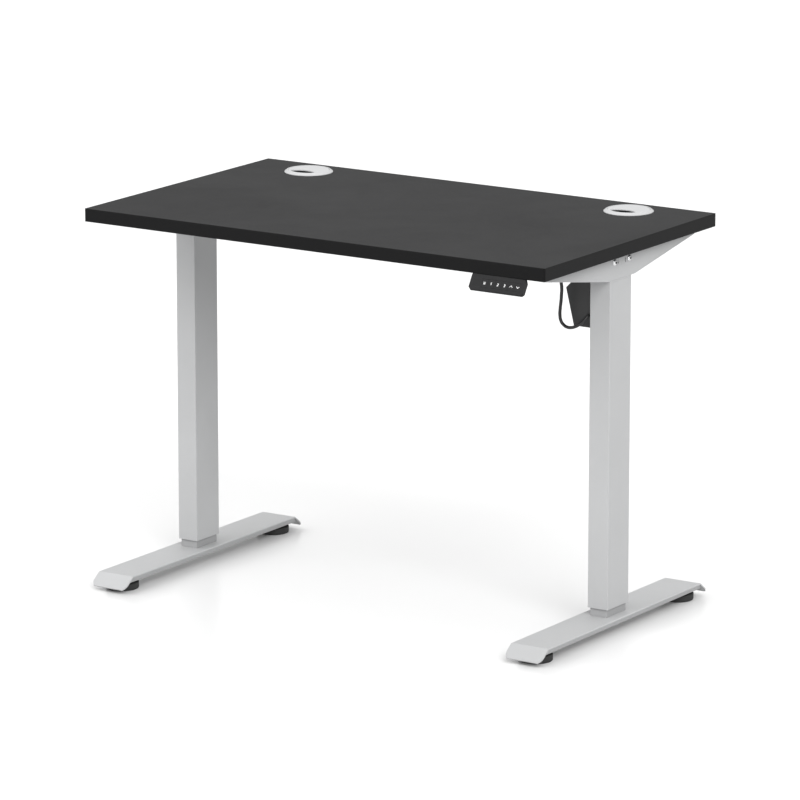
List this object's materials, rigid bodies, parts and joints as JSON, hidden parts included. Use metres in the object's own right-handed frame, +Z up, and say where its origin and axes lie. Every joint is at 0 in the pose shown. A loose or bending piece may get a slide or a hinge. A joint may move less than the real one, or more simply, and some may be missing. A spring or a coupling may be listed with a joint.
{
  "type": "height adjustable desk",
  "caption": "Rectangular worktop on telescopic columns with long flat feet, driven by a motor and cross shaft, with a keypad handset and round cable ports.",
  "frame": {"origin": "on the floor below the middle of the whole desk", "axes": "+Z up, +X to the user's right, the user sits on the -Y side"},
  "size_m": [1, 0.614, 0.7336],
  "materials": {
    "worktop": "matt black melamine with a fine grain",
    "edge": "matt black edge band",
    "port": "satin silver grey",
    "frame_paint": "satin silver grey powder coat",
    "fastener": "zinc plated",
    "bush": "plain",
    "nut_brass": "machined",
    "drive_steel": "oiled",
    "casting": "black casting",
    "motor_shell": "dark grey",
    "black_plastic": "fine grained",
    "cable": "plain",
    "handset_plastic": "satin black",
    "display": "smoked window",
    "key_plastic": "satin black",
    "glide_rubber": "plain"
  },
  "bodies": {
    "right_leg_base": {"foot_right": "frame_paint", "inner_tube_right": "frame_paint", "foot_bolts_right": "fastener", "upper_bush_right": "bush", "nut_right": "nut_brass"},
    "carriage": {"board": "worktop", "edge_band": "edge", "port_ring_left": "port", "port_ring_right": "port", "bracket_left": "frame_paint", "bracket_right": "frame_paint", "bracket_bolts": "fastener", "top_screws": "fastener", "rail_front": "frame_paint", "rail_back": "frame_paint", "head_plate_left": "frame_paint", "head_plate_right": "frame_paint", "outer_tube_left": "frame_paint", "outer_tube_right": "frame_paint", "lower_bush_left": "bush", "lower_bush_right": "bush", "gear_case_left": "casting", "gear_case_right": "casting", "gear_case_motor": "casting", "motor": "motor_shell", "motor_cover": "black_plastic", "motor_gland": "black_plastic", "motor_cable": "cable", "control_box": "black_plastic", "mains_inlet": "black_plastic", "handset": "handset_plastic", "handset_display": "display"},
    "left_leg_base": {"foot_left": "frame_paint", "inner_tube_left": "frame_paint", "foot_bolts_left": "fastener", "upper_bush_left": "bush", "nut_left": "nut_brass"},
    "left_screw": {"lead_screw_left": "drive_steel", "screw_gear_left": "drive_steel"},
    "right_screw": {"lead_screw_right": "drive_steel", "screw_gear_right": "drive_steel"},
    "shaft": {"cross_shaft": "drive_steel", "shaft_gear_left": "drive_steel", "shaft_gear_right": "drive_steel", "shaft_gear_motor": "drive_steel"},
    "spindle": {"motor_spindle": "drive_steel", "motor_gear": "drive_steel"},
    "left_port_cap": {"port_cap_left": "port"},
    "right_port_cap": {"port_cap_right": "port"},
    "key_memory_cap": {"key_memory": "key_plastic"},
    "key_one_cap": {"key_one": "key_plastic"},
    "key_two_cap": {"key_two": "key_plastic"},
    "key_three_cap": {"key_three": "key_plastic"},
    "key_up_cap": {"key_up": "key_plastic"},
    "key_down_cap": {"key_down": "key_plastic"},
    "glide_front_left_pad": {"glide_front_left": "glide_rubber"},
    "glide_front_right_pad": {"glide_front_right": "glide_rubber"},
    "glide_back_left_pad": {"glide_back_left": "glide_rubber"},
    "glide_back_right_pad": {"glide_back_right": "glide_rubber"}
  },
  "joints": [
    {"name": "lift", "type": "slide", "parent": "right_leg_base", "child": "carriage", "axis": [0, 0, 1], "range_m": [0, 0.48]},
    {"name": "left_leg_extend", "type": "slide", "parent": "carriage", "child": "left_leg_base", "axis": [0, 0, -1], "range_m": [0, 0.48]},
    {"name": "left_screw_turn", "type": "hinge", "parent": "carriage", "child": "left_screw", "pos_m": [-0.457, 0.004, 0.4], "axis": [0, 0, 1], "range_deg": [0, 17280]},
    {"name": "right_screw_turn", "type": "hinge", "parent": "carriage", "child": "right_screw", "pos_m": [0.457, 0.004, 0.4], "axis": [0, 0, 1], "range_deg": [0, 17280]},
    {"name": "shaft_turn", "type": "hinge", "parent": "carriage", "child": "shaft", "pos_m": [0, 0.004, 0.679], "axis": [1, 0, 0], "range_deg": [-17280, 0]},
    {"name": "spindle_turn", "type": "hinge", "parent": "carriage", "child": "spindle", "pos_m": [0.4135, 0.004, 0.65], "axis": [0, 0, 1], "range_deg": [0, 17280]},
    {"name": "left_port_cap_turn", "type": "hinge", "parent": "carriage", "child": "left_port_cap", "pos_m": [-0.356, 0.234, 0.732], "axis": [0, 0, 1], "continuous": true},
    {"name": "right_port_cap_turn", "type": "hinge", "parent": "carriage", "child": "right_port_cap", "pos_m": [0.356, 0.234, 0.732], "axis": [0, 0, 1], "continuous": true},
    {"name": "key_memory_press", "type": "slide", "parent": "carriage", "child": "key_memory_cap", "axis": [0, 0.8572, -0.515], "range_m": [0, 0.0008], "stiffness_N_per_m": 900, "springref_m": -0.0006},
    {"name": "key_one_press", "type": "slide", "parent": "carriage", "child": "key_one_cap", "axis": [0, 0.8572, -0.515], "range_m": [0, 0.0008], "stiffness_N_per_m": 900, "springref_m": -0.0006},
    {"name": "key_two_press", "type": "slide", "parent": "carriage", "child": "key_two_cap", "axis": [0, 0.8572, -0.515], "range_m": [0, 0.0008], "stiffness_N_per_m": 900, "springref_m": -0.0006},
    {"name": "key_three_press", "type": "slide", "parent": "carriage", "child": "key_three_cap", "axis": [0, 0.8572, -0.515], "range_m": [0, 0.0008], "stiffness_N_per_m": 900, "springref_m": -0.0006},
    {"name": "key_up_press", "type": "slide", "parent": "carriage", "child": "key_up_cap", "axis": [0, 0.8572, -0.515], "range_m": [0, 0.0008], "stiffness_N_per_m": 900, "springref_m": -0.0006},
    {"name": "key_down_press", "type": "slide", "parent": "carriage", "child": "key_down_cap", "axis": [0, 0.8572, -0.515], "range_m": [0, 0.0008], "stiffness_N_per_m": 900, "springref_m": -0.0006},
    {"name": "glide_front_left_adjust", "type": "slide", "parent": "left_leg_base", "child": "glide_front_left_pad", "axis": [0, 0, -1], "range_m": [0, 0.008]},
    {"name": "glide_front_right_adjust", "type": "slide", "parent": "right_leg_base", "child": "glide_front_right_pad", "axis": [0, 0, -1], "range_m": [0, 0.008]},
    {"name": "glide_back_left_adjust", "type": "slide", "parent": "left_leg_base", "child": "glide_back_left_pad", "axis": [0, 0, -1], "range_m": [0, 0.008]},
    {"name": "glide_back_right_adjust", "type": "slide", "parent": "right_leg_base", "child": "glide_back_right_pad", "axis": [0, 0, -1], "range_m": [0, 0.008]}
  ],
  "couplings": [
    {"joint": "left_leg_extend", "follows": "lift", "ratio": 1},
    {"joint": "left_screw_turn", "follows": "lift", "rad_per_m": 628.32},
    {"joint": "right_screw_turn", "follows": "lift", "rad_per_m": 628.32},
    {"joint": "shaft_turn", "follows": "lift", "rad_per_m": -628.32},
    {"joint": "spindle_turn", "follows": "lift", "rad_per_m": 628.32}
  ]
}
